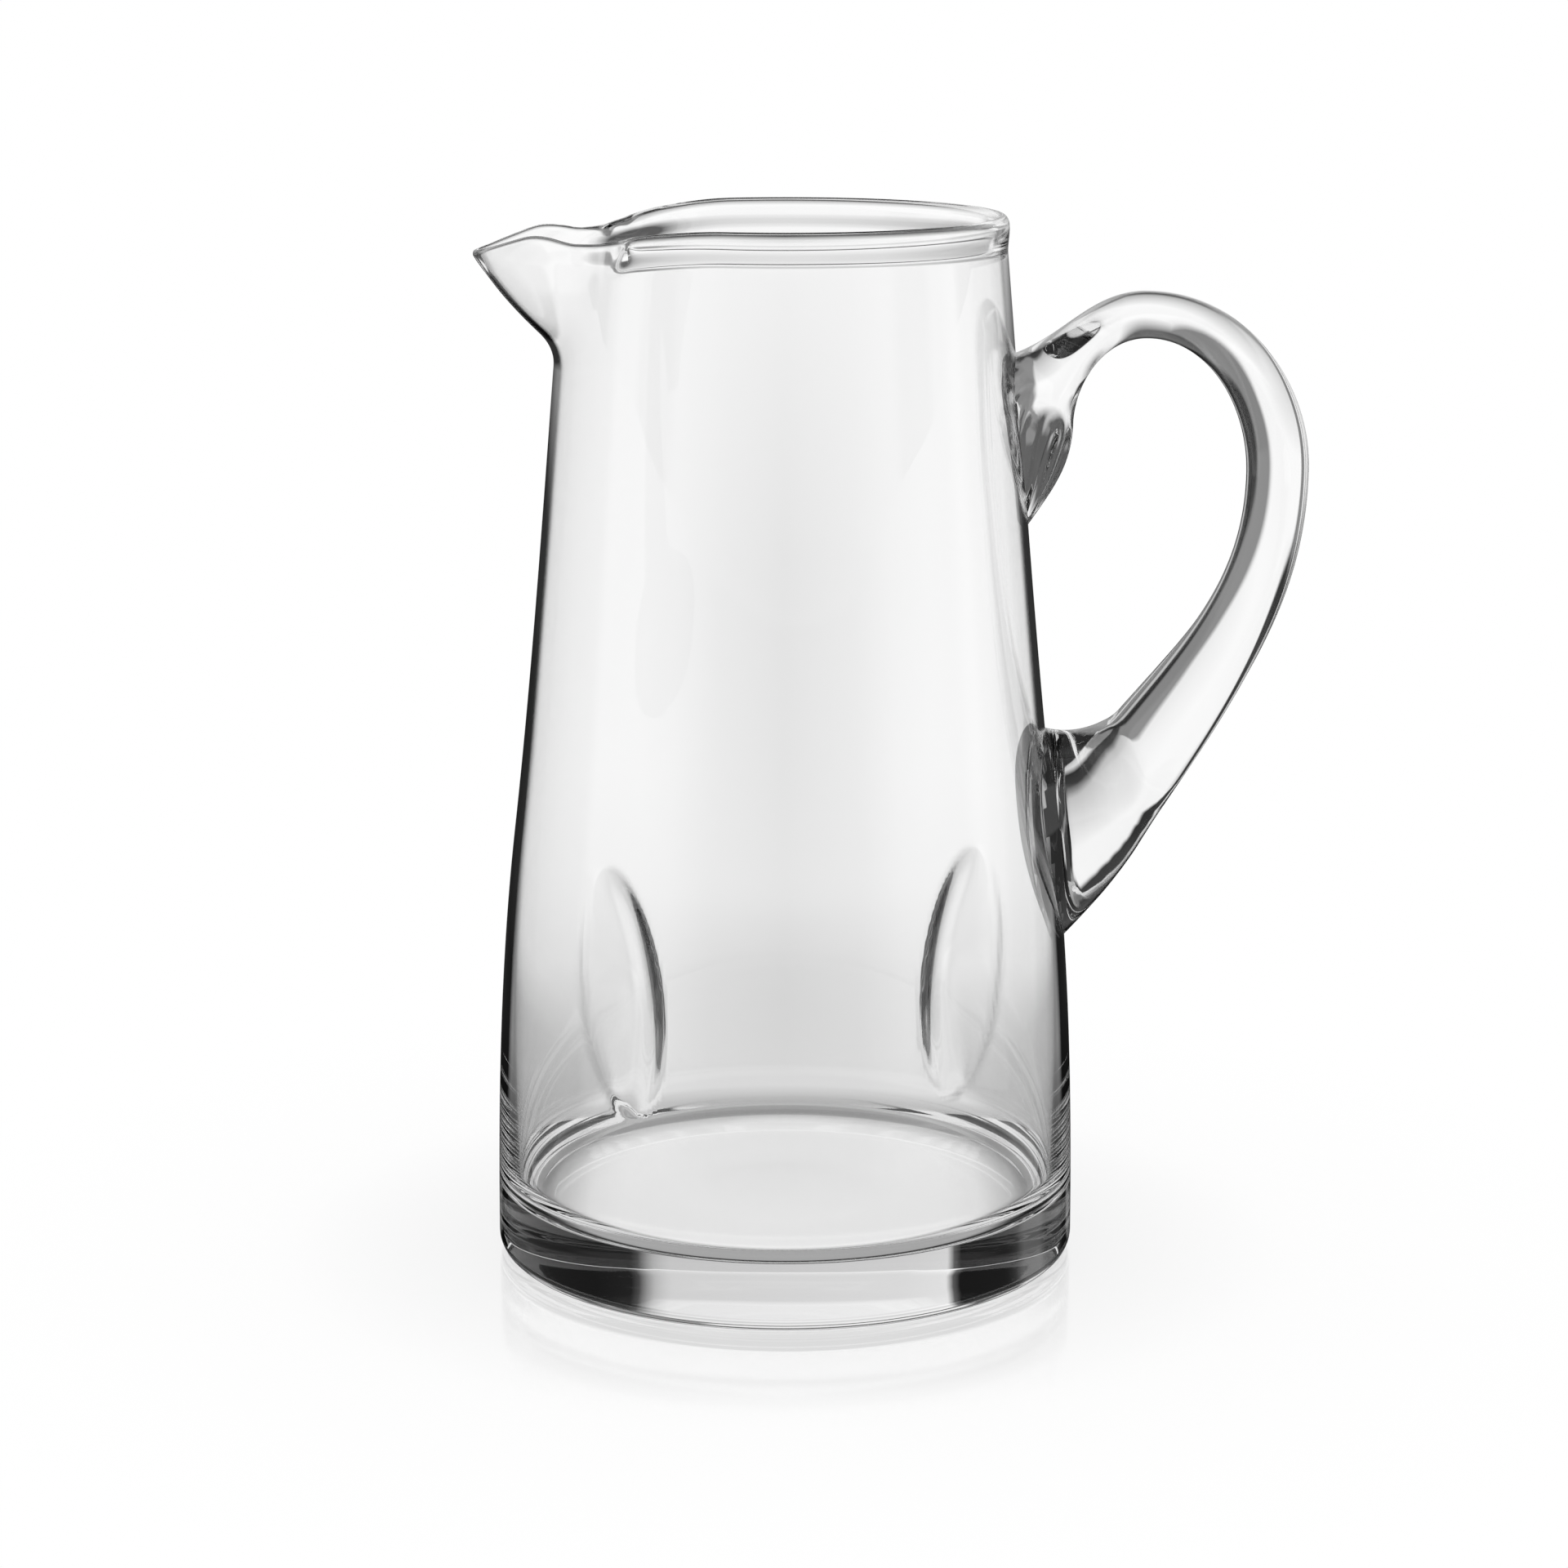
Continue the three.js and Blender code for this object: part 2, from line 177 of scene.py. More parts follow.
# Fineness of the meshes: rings in each zone of the vessel, from the dish to the inner floor
DISH_RINGS = 10
UNDERSIDE_RINGS = 6
HEEL_RINGS = 12
FOOT_RINGS = 18
PRINT_RINGS = 60
NECK_RINGS = 28
LIP_RINGS = 36
RIM_RINGS = 28
INNER_FOOT_RINGS = 12
FILLET_RINGS = 20
FLOOR_RINGS = 10
CENTRE_SHARE = 0.1
FINE_BOTTOM_Z = 44
FINE_TOP_Z = 110

# Clear glass, and the waves in its skin: about how many to a metre, and how high in metres
GLASS_COLOR = (0.99, 0.99, 0.99)
GLASS_IOR = 1.5
FUSED_COLOR = (1, 1, 1)
FUSED_IOR = 1.0
VESSEL_WAVES = 22.0
HANDLE_WAVES = 30.0
WAVE_HEIGHT = 0.0001
WAVE_DETAIL = 1.0

# Camera at the photograph's height, distance and pitch
CAMERA_PLACE = (-0.24, -943.56, 321.55)
CAMERA_PITCH = 12.5388
CAMERA_LENS = 94.45
CAMERA_SENSOR = 36.0

# Most bounces of a ray, for glass seen through glass
MAX_BOUNCES = 24
GLOSSY_BOUNCES = 16

# How often a ray is let through or mirrored by a skin, half way between two whole numbers
NEVER = 0.5
ONE_WALL = 2.5
TWO_WALLS = 4.5
BASE_BOUNCES = 2.5
MAZE_BOUNCES = 3.5

# Stage: greys of the surround, SIDES by azimuth in degrees from straight behind in the photograph's view,
# and HEIGHTS by the sine of the elevation. Mirrored rays above HIGH see the top of the surround
HIGH = 0.42
HEIGHTS_ABOVE = ((-1.0, 1.0), (0.4, 1.0), (0.5, 0.06), (0.8, 0.06), (1.0, 0.6))

# Stage: for rays that the outer skin mirrors
SIDES_BY_SKIN = (
    (-180, 0.1), (-150, 0.3), (-130, 0.95), (-36, 0.95), (-31, 0.03),
    (31, 0.03), (36, 0.95), (130, 0.95), (150, 0.3), (180, 0.1),
)
HEIGHTS_BY_SKIN = ((-1.0, 0.1), (-0.29, 0.1), (-0.25, 1.0), (1.0, 1.0))
HEIGHTS_STEEP = ((-1.0, 0.4), (-0.7, 0.4), (-0.55, 0.0), (-0.13, 0.0), (-0.06, 0.35), (1.0, 0.35))
HEIGHTS_RISING = ((-1.0, 0.0), (-0.1, 0.0), (0.2, 1.0), (1.0, 1.0))

# Stage: for rays that are mirrored inside the glass of one wall or of the base
SIDES_BY_PANEL = (
    (-180, 0.85), (-125, 0.8), (-120, 0.02), (-104, 0.02), (-100, 0.8), (-80, 0.8), (-76, 0.02),
    (-56, 0.02), (-52, 0.15), (-45, 0.15), (-42, 0.03), (-39, 0.006), (-25.5, 0.006), (-24, 1.0),
    (-16, 0.92), (0, 0.88), (16, 0.84), (19, 0.55), (20.5, 0.12), (22, 0.015), (30, 0.006),
    (80, 0.006), (84, 0.8), (100, 0.8), (104, 0.02), (120, 0.02), (125, 0.8), (180, 0.85),
)
HEIGHTS_BY_PANEL = ((-1.0, 0.82), (-0.33, 0.82), (-0.25, 1.0), (0.1, 1.0), (0.2, 0.7), (1.0, 0.7))

# Stage: for rays mirrored on a way through more than one wall: falling, rising, mirrored often, or through
# more than two walls
SIDES_BY_DEPTH_LOW = (
    (-180, 0.6), (-130, 0.9), (-76, 0.9), (-70, 0.5), (-36, 0.5), (-30, 0.12),
    (28, 0.12), (32, 0.03), (75, 0.03), (80, 0.9), (130, 0.9), (180, 0.6),
)
SIDES_BY_DEPTH_HIGH = (
    (-180, 0.6), (-130, 0.9), (15, 0.95), (20, 0.05), (75, 0.05), (80, 0.9), (130, 0.9), (180, 0.6),
)
SIDES_BY_MAZE = ((-180, 0.85), (-55, 0.85), (-45, 0.03), (45, 0.03), (55, 0.85), (180, 0.85))
SIDES_IN_SEAM = ((-180, 0.02), (-90, 0.02), (-82, 0.7), (-64, 0.7), (-57, 0.02), (180, 0.02))

# Stage: for rays that pass one wall, or the handle, with no mirroring. SIDES_ASIDE is the least that their
# height gives at the sides, and so it is for two walls
SIDES_THROUGH = (
    (-180, 1.0), (-82, 1.0), (-76, 0.1), (-56, 0.1), (-52, 0.8), (-44, 0.9), (-41, 0.03), (-29, 0.03),
    (-26, 1.0), (8, 1.0), (11, 0.25), (26, 0.25), (30, 0.02), (39, 0.02), (42, 0.45), (48, 0.45),
    (51, 0.02), (70, 0.02), (76, 0.9), (180, 1.0),
)
HEIGHTS_THROUGH = (
    (-1.0, 0.85), (-0.8, 0.85), (-0.72, 0.03), (-0.6, 0.05), (-0.55, 0.25), (-0.5, 0.55), (-0.42, 0.66),
    (-0.33, 0.78), (-0.25, 0.9), (-0.2, 1.0), (0.05, 1.0), (0.25, 0.1), (1.0, 0.1),
)
SIDES_ASIDE = ((-180, 0.92), (-40, 0.92), (-35, 0.0), (35, 0.0), (40, 0.92), (180, 0.92))

# Stage: for rays that pass two walls with no mirroring, with a soft shade straight behind the object
SIDES_BEYOND = (
    (-180, 1.0), (-38, 1.0), (-32, 0.4), (-16, 0.7), (-12, 0.95), (-8, 1.0),
    (8, 1.0), (12, 0.95), (16, 0.7), (32, 0.4), (38, 1.0), (180, 1.0),
)
HEIGHTS_BEYOND = (
    (-1.0, 0.85), (-0.8, 0.85), (-0.72, 0.05), (-0.6, 0.05), (-0.55, 0.15), (-0.45, 0.4), (-0.36, 0.68),
    (-0.291, 0.83), (-0.263, 0.95), (-0.225, 1.0), (0.1, 1.0), (0.3, 0.4), (1.0, 0.1),
)
SIDES_SHADED = (
    (-180, 0.0), (-3.6, 0.0), (-2.8, 0.06), (-2.0, 0.25), (-1.2, 0.6), (-0.5, 0.9),
    (0, 1.0), (0.5, 0.9), (1.2, 0.6), (2.0, 0.25), (2.8, 0.06), (3.6, 0.0), (180, 0.0),
)
HEIGHTS_SHADED = (
    (-1.0, 0.08), (-0.263, 0.08), (-0.225, 0.14), (-0.165, 0.15), (-0.13, 0.1),
    (-0.1, 0.05), (-0.07, 0.02), (-0.04, 0.0), (1.0, 0.0),
)

# Stage: for rays that pass more than two walls with no mirroring
SIDES_BY_SEAM = (
    (-180, 0.85), (-122, 0.85), (-114, 0.03), (-100, 0.03), (-96, 0.6), (-84, 0.6), (-80, 0.03),
    (-51, 0.03), (-49, 0.5), (-41, 0.5), (-39, 0.03), (-12, 0.03), (-5, 0.5), (4, 0.5), (12, 0.03),
    (39, 0.03), (41, 0.5), (49, 0.5), (51, 0.03), (80, 0.03), (84, 0.6), (96, 0.6), (100, 0.03),
    (114, 0.03), (122, 0.85), (180, 0.85),
)
HEIGHTS_BY_SEAM = ((-1.0, 1.0), (-0.18, 1.0), (-0.1, 0.05), (1.0, 0.05))

# Floor, in metres: its greys and shares by the distance from the axis, or for the sideways grey only
# sideways. The greys are painted shadow that rays through both walls of the glass see on the floor: a dark
# ring under the heel, grey ground beyond, and greyer ground to both sides
FLOOR_HALF = 8.0
FLOOR_DROP = 0.0003
FLOOR_ROUGHNESS = 0.08
FLOOR_FAR = 2.0
FLOOR_MIRROR = ((0.0, 0.3), (0.068, 0.3), (0.12, 0.0))
FLOOR_MATT = ((0.0, 0.15), (0.09, 0.15), (0.22, 0.0), (2.0, 0.0))
FLOOR_PAINTED_SHADOW_SHARE = ((0.0, 1.0), (0.11, 1.0), (0.24, 0.0), (2.0, 0.0))
# Painted shadow: white under the middle of the base, a dark ring under the heel, grey further out
FLOOR_SHADOW_PAINTED_THROUGH = (
    (0.0, 1.0), (0.054, 1.0), (0.058, 0.4), (0.068, 0.4), (0.085, 0.78), (0.25, 0.82), (2.0, 0.82),
)
# Painted shade, darker to both sides beyond the base
FLOOR_SHADE_PAINTED_SIDEWAYS = ((0.0, 1.0), (0.045, 1.0), (0.056, 0.62), (2.0, 0.62))

BEAD_Z = HEIGHT - BEAD_RADIUS
FLOOR_TOP_Z = BASE_THICKNESS + FLOOR_FILLET
LIP_ROOT_Z = BEAD_Z - LIP_DEPTH - LIP_ROOT_ROUND


def smoothstep(x, low, high):
    t = np.clip((x - low) / (high - low), 0, 1)
    return t * t * (3 - 2 * t)


def bell(x, half_width):
    """Bell curve that is 1 in the middle."""
    return np.exp(-(x / half_width) ** 2)


def cubic_between(z, z0, r0, slope0, z1, r1, slope1):
    """Cubic from (z0, r0) to (z1, r1) that leaves and arrives at the given slopes."""
    span = z1 - z0
    t = (z - z0) / span
    s = 1 - t
    ends = s * s * (1 + 2 * t) * r0 + t * t * (3 - 2 * t) * r1
    return ends + span * t * s * (s * slope0 - t * slope1)


def soft_ramp(x, rounding):
    """Zero before the start, then a straight ramp, with the corner between them rounded."""
    corner = (x + rounding) ** 2 / (4 * rounding)
    return np.where(x <= -rounding, 0, np.where(x >= rounding, x, corner))


def outer_radius(z):
    z = np.asarray(z, float)
    low = cubic_between(z, 0, HEEL_RADIUS, 0, SHOULDER_Z, SHOULDER_RADIUS, -SHOULDER_TAPER)
    high = cubic_between(z, SHOULDER_Z, SHOULDER_RADIUS, -SHOULDER_TAPER, BEAD_Z, NECK_RADIUS, -NECK_TAPER)
    return np.where(z < SHOULDER_Z, low, high)


def wall_thickness(z):
    swell = np.maximum(0, 1 - np.asarray(z, float) / WALL_SWELL_Z)
    return WALL + (WALL_AT_BASE - WALL) * swell ** 2


def rim_pull(angle):
    """How far the rim is pulled out, let down and pinched at an angle from the lip's middle."""
    along = np.abs(angle) * NECK_RADIUS
    cheek = np.hypot(along, LIP_TIP_ROUND) - LIP_TIP_ROUND
    whole = math.hypot(LIP_CHEEK, LIP_TIP_ROUND) - LIP_TIP_ROUND
    beak = np.maximum(0, 1 - cheek / whole) ** 2
    droop = LIP_DROOP * bell(along, DROOP_HALF_WIDTH)
    dip = DIP * (1 - smoothstep(along, DIP_END, DIP_START))
    rise = SHOULDER_RISE * (1 - smoothstep(along, DROOP_HALF_WIDTH, DIP_END))
    pinch = PINCH_DEPTH * bell(along - PINCH_OFFSET, PINCH_HALF_WIDTH)
    pinch = pinch * np.where(angle > 0, 1, BACK_PINCH_SHARE)
    return LIP_REACH * beak, droop + dip - rise, pinch


def rim_sizes(angle):
    """Half thickness and height of the rim, thinner towards the lip and thicker at its far cheek."""
    along = angle * NECK_RADIUS
    away = smoothstep(np.abs(along), PINCH_OFFSET - LIP_RIM_BLEND, PINCH_OFFSET + LIP_RIM_BLEND)
    fold = BACK_FOLD * bell(along + PINCH_OFFSET, BACK_FOLD_HALF_WIDTH)
    half = LIP_RIM_HALF + (RIM_HALF - LIP_RIM_HALF) * away + fold
    return half, LIP_BEAD_RADIUS + (BEAD_RADIUS - LIP_BEAD_RADIUS) * away


def half_thickness(angle, z):
    """Half the wall's thickness, which swells a little below the rim."""
    half = wall_thickness(z) / 2
    return half + (rim_sizes(angle)[0] - half) * smoothstep(z, BEAD_Z - RIM_DEPTH, BEAD_Z)


def print_press(angle, z):
    """How far the wall is pressed in by the thumbprints, whose sides away from the front run out softly."""
    press = 0
    for degrees, middle, lean in PRINTS:
        lift = z - middle
        along = (angle - math.radians(degrees)) * outer_radius(z) - lift * math.tan(math.radians(lean))
        inside = np.maximum(0, 1 - (along / (PRINT_WIDTH / 2)) ** 2 - (lift / (PRINT_HEIGHT / 2)) ** 2)
        far = along if degrees > FRONT else -along
        power = PRINT_POWER + PRINT_SOFTNESS * smoothstep(far, 0, PRINT_WIDTH / 2)
        press = press + PRINT_DEPTH * inside ** power
    return press


def wall_middle(angle, z):
    """Middle of the wall at an angle from the lip, where z is the height before the lip was pulled."""
    rise = soft_ramp(z - (BEAD_Z - LIP_DEPTH), LIP_ROOT_ROUND) / LIP_DEPTH
    out, down, pinch = rim_pull(angle)
    pull = out * rise * (1 + LIP_BULGE * (1 - rise)) - pinch * smoothstep(z, BEAD_Z - PINCH_HEIGHT, BEAD_Z)
    radius = outer_radius(z) - wall_thickness(z) / 2 + pull - print_press(angle, z)
    return np.stack([-radius * np.cos(angle), -radius * np.sin(angle), z - down * rise], -1)


def wall_point(angle, z, outwards, upwards=0.0):
    """Points of the wall, offset outwards and upwards from its middle."""
    angle, z, outwards, upwards = np.broadcast_arrays(angle, z, outwards, upwards)
    around = wall_middle(angle + NUDGE, z) - wall_middle(angle - NUDGE, z)
    up = wall_middle(angle, z + NUDGE) - wall_middle(angle, z - NUDGE)
    up = up / np.linalg.norm(up, axis=-1, keepdims=True)
    normal = np.cross(around, up)
    normal = normal / np.linalg.norm(normal, axis=-1, keepdims=True)
    return wall_middle(angle, z) + normal * outwards[..., None] + up * upwards[..., None]


def round_angles():
    """Angles from the lip's middle, closer together at the lip and at the thumbprints."""
    fine = np.linspace(-math.pi, math.pi, ANGLE_SAMPLES)
    density = 1 + LIP_CLOSENESS * bell(fine, LIP_SPREAD)
    for degrees, _, _ in PRINTS:
        density += PRINT_CLOSENESS * bell(fine - math.radians(degrees), PRINT_SPREAD)
    share = np.concatenate([[0], np.cumsum((density[1:] + density[:-1]) / 2)])
    return np.interp(np.arange(ROUND_STEPS) / ROUND_STEPS * share[-1], share, fine)


def vessel_rings():
    """Rings of the vessel's skin, from under the base, over the rim and down to the inner floor."""
    angle = round_angles()
    rings = []

    def round_ring(radius, z):
        level = np.full_like(angle, z)
        rings.append(np.stack([-radius * np.cos(angle), -radius * np.sin(angle), level], -1))

    heel = outer_radius(HEEL_ROUND)
    for part in np.linspace(CENTRE_SHARE, 1, DISH_RINGS):
        round_ring(part * DISH_RADIUS, DISH_DEPTH * (1 - part ** 2))
    for radius in np.linspace(DISH_RADIUS, heel - HEEL_ROUND, UNDERSIDE_RINGS)[1:-1]:
        round_ring(radius, 0)
    for turn in np.linspace(-math.pi / 2, 0, HEEL_RINGS):
        round_ring(heel + HEEL_ROUND * (math.cos(turn) - 1), HEEL_ROUND * (1 + math.sin(turn)))
    upper = np.concatenate([
        np.linspace(FINE_BOTTOM_Z, FINE_TOP_Z, PRINT_RINGS),
        np.linspace(FINE_TOP_Z, LIP_ROOT_Z, NECK_RINGS)[1:],
        np.linspace(LIP_ROOT_Z, BEAD_Z, LIP_RINGS)[1:-1],
    ])
    foot = np.linspace(HEEL_ROUND, FINE_BOTTOM_Z, FOOT_RINGS)[1:-1]
    for z in np.concatenate([foot, upper]):
        rings.append(wall_point(angle, z, half_thickness(angle, z)))
    half, height = rim_sizes(angle)
    for turn in np.linspace(0, math.pi, RIM_RINGS):
        rings.append(wall_point(angle, BEAD_Z, half * math.cos(turn), height * math.sin(turn)))
    foot = np.linspace(FLOOR_TOP_Z, FINE_BOTTOM_Z, INNER_FOOT_RINGS)[:-1]
    for z in np.concatenate([foot, upper])[::-1]:
        rings.append(wall_point(angle, z, -half_thickness(angle, z)))
    inner = outer_radius(FLOOR_TOP_Z) - wall_thickness(FLOOR_TOP_Z)
    for turn in np.linspace(0, -math.pi / 2, FILLET_RINGS)[1:]:
        round_ring(inner + FLOOR_FILLET * (math.cos(turn) - 1), FLOOR_TOP_Z + FLOOR_FILLET * math.sin(turn))
    for part in np.linspace(1, CENTRE_SHARE, FLOOR_RINGS)[1:]:
        round_ring(part * (inner - FLOOR_FILLET), BASE_THICKNESS)
    return np.array(rings)


def edge(x, z, heading):
    """A point on one of the handle's edges, and the way that the edge runs there."""
    way = math.radians(heading)
    return np.array([x, z], float), np.array([math.cos(way), math.sin(way)])


def throat_edge(side):
    across = math.radians(THROAT_LEAN + 90)
    x = THROAT_X + side * math.cos(across) * THROAT_DEPTH / 2
    z = THROAT_Z + side * math.sin(across) * THROAT_DEPTH / 2
    return edge(x, z, THROAT_HEADING - side * THROAT_TAPER / 2)


def edge_curve(start, end, t):
    """Curve from one edge point to the next that keeps both headings."""
    pull = np.linalg.norm(start[0] - end[0]) * EDGE_PULL
    p0, p1, p2, p3 = start[0], start[0] + start[1] * pull, end[0] - end[1] * pull, end[0]
    t = t[:, None]
    s = 1 - t
    return s ** 3 * p0 + 3 * s * s * t * p1 + 3 * s * t * t * p2 + t ** 3 * p3


def handle_stations():
    """The section's inner edge, outer edge, width, squareness and twist, from the pad to the tail's tip."""
    pad_top, pad_bottom = float(outer_radius(PAD_TOP_Z)), float(outer_radius(PAD_BOTTOM_Z))
    fold, seat, tip = (float(outer_radius(z)) for z in (TAIL_FOLD_Z, SEAT_TOP_Z, TAIL_END_Z))
    return [
        (
            edge(pad_top - PAD_SINK, PAD_TOP_Z, PAD_TOP_HEADING),
            edge(pad_bottom - PAD_SINK, PAD_BOTTOM_Z, PAD_BOTTOM_HEADING),
            BED_WIDTH, SOFT, 0,
        ),
        (
            edge(pad_top, PAD_TOP_Z, PAD_TOP_HEADING),
            edge(pad_bottom, PAD_BOTTOM_Z, PAD_BOTTOM_HEADING),
            PAD_WIDTH, SOFT, PAD_TWIST,
        ),
        (
            throat_edge(1),
            throat_edge(-1),
            THROAT_WIDTH, SQUARE, THROAT_TWIST,
        ),
        (
            edge(HANDLE_REACH - GRIP_DEPTH, GRIP_Z, UPWARDS),
            edge(HANDLE_REACH, GRIP_Z, UPWARDS),
            GRIP_WIDTH, SQUARE, GRIP_TWIST,
        ),
        (
            edge(CROWN_X, CROWN_Z - CROWN_DEPTH, TO_VESSEL),
            edge(CROWN_X, CROWN_Z, TO_VESSEL),
            CROWN_WIDTH, OVAL, 0,
        ),
        (
            edge(fold + TAIL_DEPTH, TAIL_FOLD_Z, DOWNWARDS),
            edge(seat, SEAT_TOP_Z, SEAT_TOP_HEADING),
            TAIL_WIDTH, SOFT, 0,
        ),
        (
            edge(tip, TAIL_END_Z, TAIL_TIP_HEADING),
            edge(tip - SEAT_SINK, TAIL_END_Z, DOWNWARDS),
            TAIL_TIP_WIDTH, SOFT, 0,
        ),
    ]


def handle_rails():
    """The stations' values from section to section, with the depth of the tail's ridges as the last."""
    stations = handle_stations()
    spans = []
    for span, (start, end) in enumerate(zip(stations, stations[1:])):
        t = np.linspace(0, 1, LOOP_STEPS + 1)[1:]
        if span == BED_SPAN:
            t = np.linspace(0, 1, SEAT_STEPS + 1)
        ease = smoothstep(t, 0, 1)
        narrowing = ease
        if span == BED_SPAN:
            narrowing = t
        elif span == PAD_SPAN:
            narrowing = 1 - (1 - t) ** PAD_FLARE
        turned = smoothstep(t, UNTWIST_FROM, UNTWIST_TO) if span == CROWN_SPAN else ease
        spans.append((
            edge_curve(start[0], end[0], t),
            edge_curve(start[1], end[1], t),
            start[2] + (end[2] - start[2]) * narrowing,
            start[3] + (end[3] - start[3]) * ease,
            np.radians(start[4] + (end[4] - start[4]) * turned),
            TAIL_RIDGE_DEPTH * smoothstep(t, 0, TAIL_RIDGE_FADE) * (span == TAIL_SPAN),
        ))
    return [np.concatenate(rail) for rail in zip(*spans)]


def handle_rings():
    """Sections of the handle, cut to the vessel's wall, and which of their points are fused to it."""
    inner, outer, width, square, twist, ridge = handle_rails()
    turn = -2 * math.pi * np.arange(SECTION_STEPS) / SECTION_STEPS
    power = (2 / square)[:, None]
    across = np.sign(np.cos(turn)) * np.abs(np.cos(turn)) ** power
    side = np.sign(np.sin(turn)) * np.abs(np.sin(turn)) ** power
    shrink = 1 - ridge[:, None] * (0.5 + 0.5 * np.cos(TAIL_RIDGES * turn))[None]
    depth = np.linalg.norm(inner - outer, axis=-1)
    u = across * shrink * depth[:, None] / 2
    v = side * shrink * width[:, None] / 2
    u, v = (
        u * np.cos(twist)[:, None] - v * np.sin(twist)[:, None],
        u * np.sin(twist)[:, None] + v * np.cos(twist)[:, None],
    )
    u = u / np.abs(u).max(1, keepdims=True)
    v = v / np.abs(v).max(1, keepdims=True) * width[:, None] / 2
    place = outer[:, None] + (inner - outer)[:, None] * ((1 + u) / 2)[..., None]
    rings = np.stack([place[..., 0], v, place[..., 1]], -1)
    middle = rings[0].mean(0)
    bed = [middle + part * (rings[0] - middle) for part in np.linspace(BED_START, 1, BED_STEPS)[:-1]]
    rings = np.concatenate([bed, rings])
    limit = outer_radius(rings[..., 2]) - SEAT_OVERLAP
    wall_x = np.sqrt(np.maximum(limit ** 2 - rings[..., 1] ** 2, 0))
    fused = rings[..., 0] < wall_x
    rings[..., 0] = np.maximum(rings[..., 0], wall_x)
    return rings, fused


def add_object(name, data):
    made = bpy.data.objects.new(name, data)
    bpy.context.scene.collection.objects.link(made)
    return made


def loft(name, rings, fused, materials):
    """Closed smooth mesh through rings, with a fan at each end and fused faces in the second slot."""
    rows, count, _ = rings.shape
    ring = np.arange(count)
    after = (ring + 1) % count
    low = np.arange(rows - 1)[:, None] * count
    sides = np.stack([low + ring, low + after, low + count + after, low + count + ring], -1).reshape(-1, 4)
    first, last, top = rows * count, rows * count + 1, (rows - 1) * count
    start = np.stack([np.full(count, first), after, ring], -1)
    end = np.stack([np.full(count, last), top + ring, top + after], -1)
    corners = np.concatenate([rings.reshape(-1, 3), [rings[0].mean(0), rings[-1].mean(0)]]) * MM * FIT
    flags = np.concatenate([fused.reshape(-1), [fused[0].all(), fused[-1].all()]])
    mesh = bpy.data.meshes.new(name)
    mesh.from_pydata(corners.tolist(), [], sides.tolist() + start.tolist() + end.tolist())
    mesh.shade_smooth()
    for material in materials:
        mesh.materials.append(material)
    slots = np.concatenate([flags[part].all(1) for part in (sides, start, end)])
    mesh.polygons.foreach_set("material_index", slots.astype(np.int32))
    return add_object(name, mesh)


def inside(points, piece):
    """Which points lie inside a closed piece: a line towards +X crosses its skin an odd number of times."""
    corners = [vertex.co for vertex in piece.data.vertices]
    tree = BVHTree.FromPolygons(corners, [face.vertices for face in piece.data.polygons])
    way = Vector((1, 0, 0))
    found = np.zeros(len(points), bool)
    for i in np.flatnonzero(points[:, 0] > 0):
        hit = tree.ray_cast(Vector(points[i] * MM), way)[0]
        while hit is not None:
            found[i] = not found[i]
            hit = tree.ray_cast(hit + way * STEP_PAST, way)[0]
    return found


class Board:
    """Short calls to place and link nodes in the node tree of a material or a world."""

    def __init__(self, owner):
        owner.use_nodes = True
        self.tree = owner.node_tree
        self.tree.nodes.clear()

    def node(self, kind, **settings):
        made = self.tree.nodes.new(kind)
        for name, value in settings.items():
            setattr(made, name, value)
        return made

    def join(self, source, socket):
        if isinstance(source, (int, float)):
            socket.default_value = source
        else:
            self.tree.links.new(source, socket)

    def calc(self, operation, a, b=0.0):
        made = self.node("ShaderNodeMath", operation=operation)
        self.join(a, made.inputs[0])
        self.join(b, made.inputs[1])
        return made.outputs[0]

    def times(self, a, b):
        return self.calc("MULTIPLY", a, b)

    def minus(self, a, b):
        return self.calc("SUBTRACT", a, b)

    def most(self, a, b):
        return self.calc("MAXIMUM", a, b)

    def least(self, a, b):
        return self.calc("MINIMUM", a, b)

    def over(self, a, limit):
        return self.calc("GREATER_THAN", a, limit)

    def under(self, a, limit):
        return self.calc("LESS_THAN", a, limit)

    def mix(self, share, a, b):
        made = self.node("ShaderNodeMix", data_type="FLOAT")
        self.join(share, made.inputs[0])
        self.join(a, made.inputs[2])
        self.join(b, made.inputs[3])
        return made.outputs[0]

    def blend(self, share, a, b):
        made = self.node("ShaderNodeMixShader")
        self.join(share, made.inputs[0])
        self.join(a, made.inputs[1])
        self.join(b, made.inputs[2])
        return made.outputs[0]

    def grade(self, value, low, high, stops):
        """Grey level from a value between low and high, straight between the (value, grey) stops."""
        part = self.calc("DIVIDE", self.minus(value, low), high - low)
        made = self.node("ShaderNodeValToRGB")
        self.join(part, made.inputs[0])
        elements = made.color_ramp.elements
        elements.remove(elements[-1])
        for i, (at, grey) in enumerate(stops):
            place = (at - low) / (high - low)
            element = elements[0] if i == 0 else elements.new(place)
            element.position = place
            element.color = (grey, grey, grey, 1)
        split = self.node("ShaderNodeSeparateColor")
        self.join(made.outputs[0], split.inputs[0])
        return split.outputs[0]


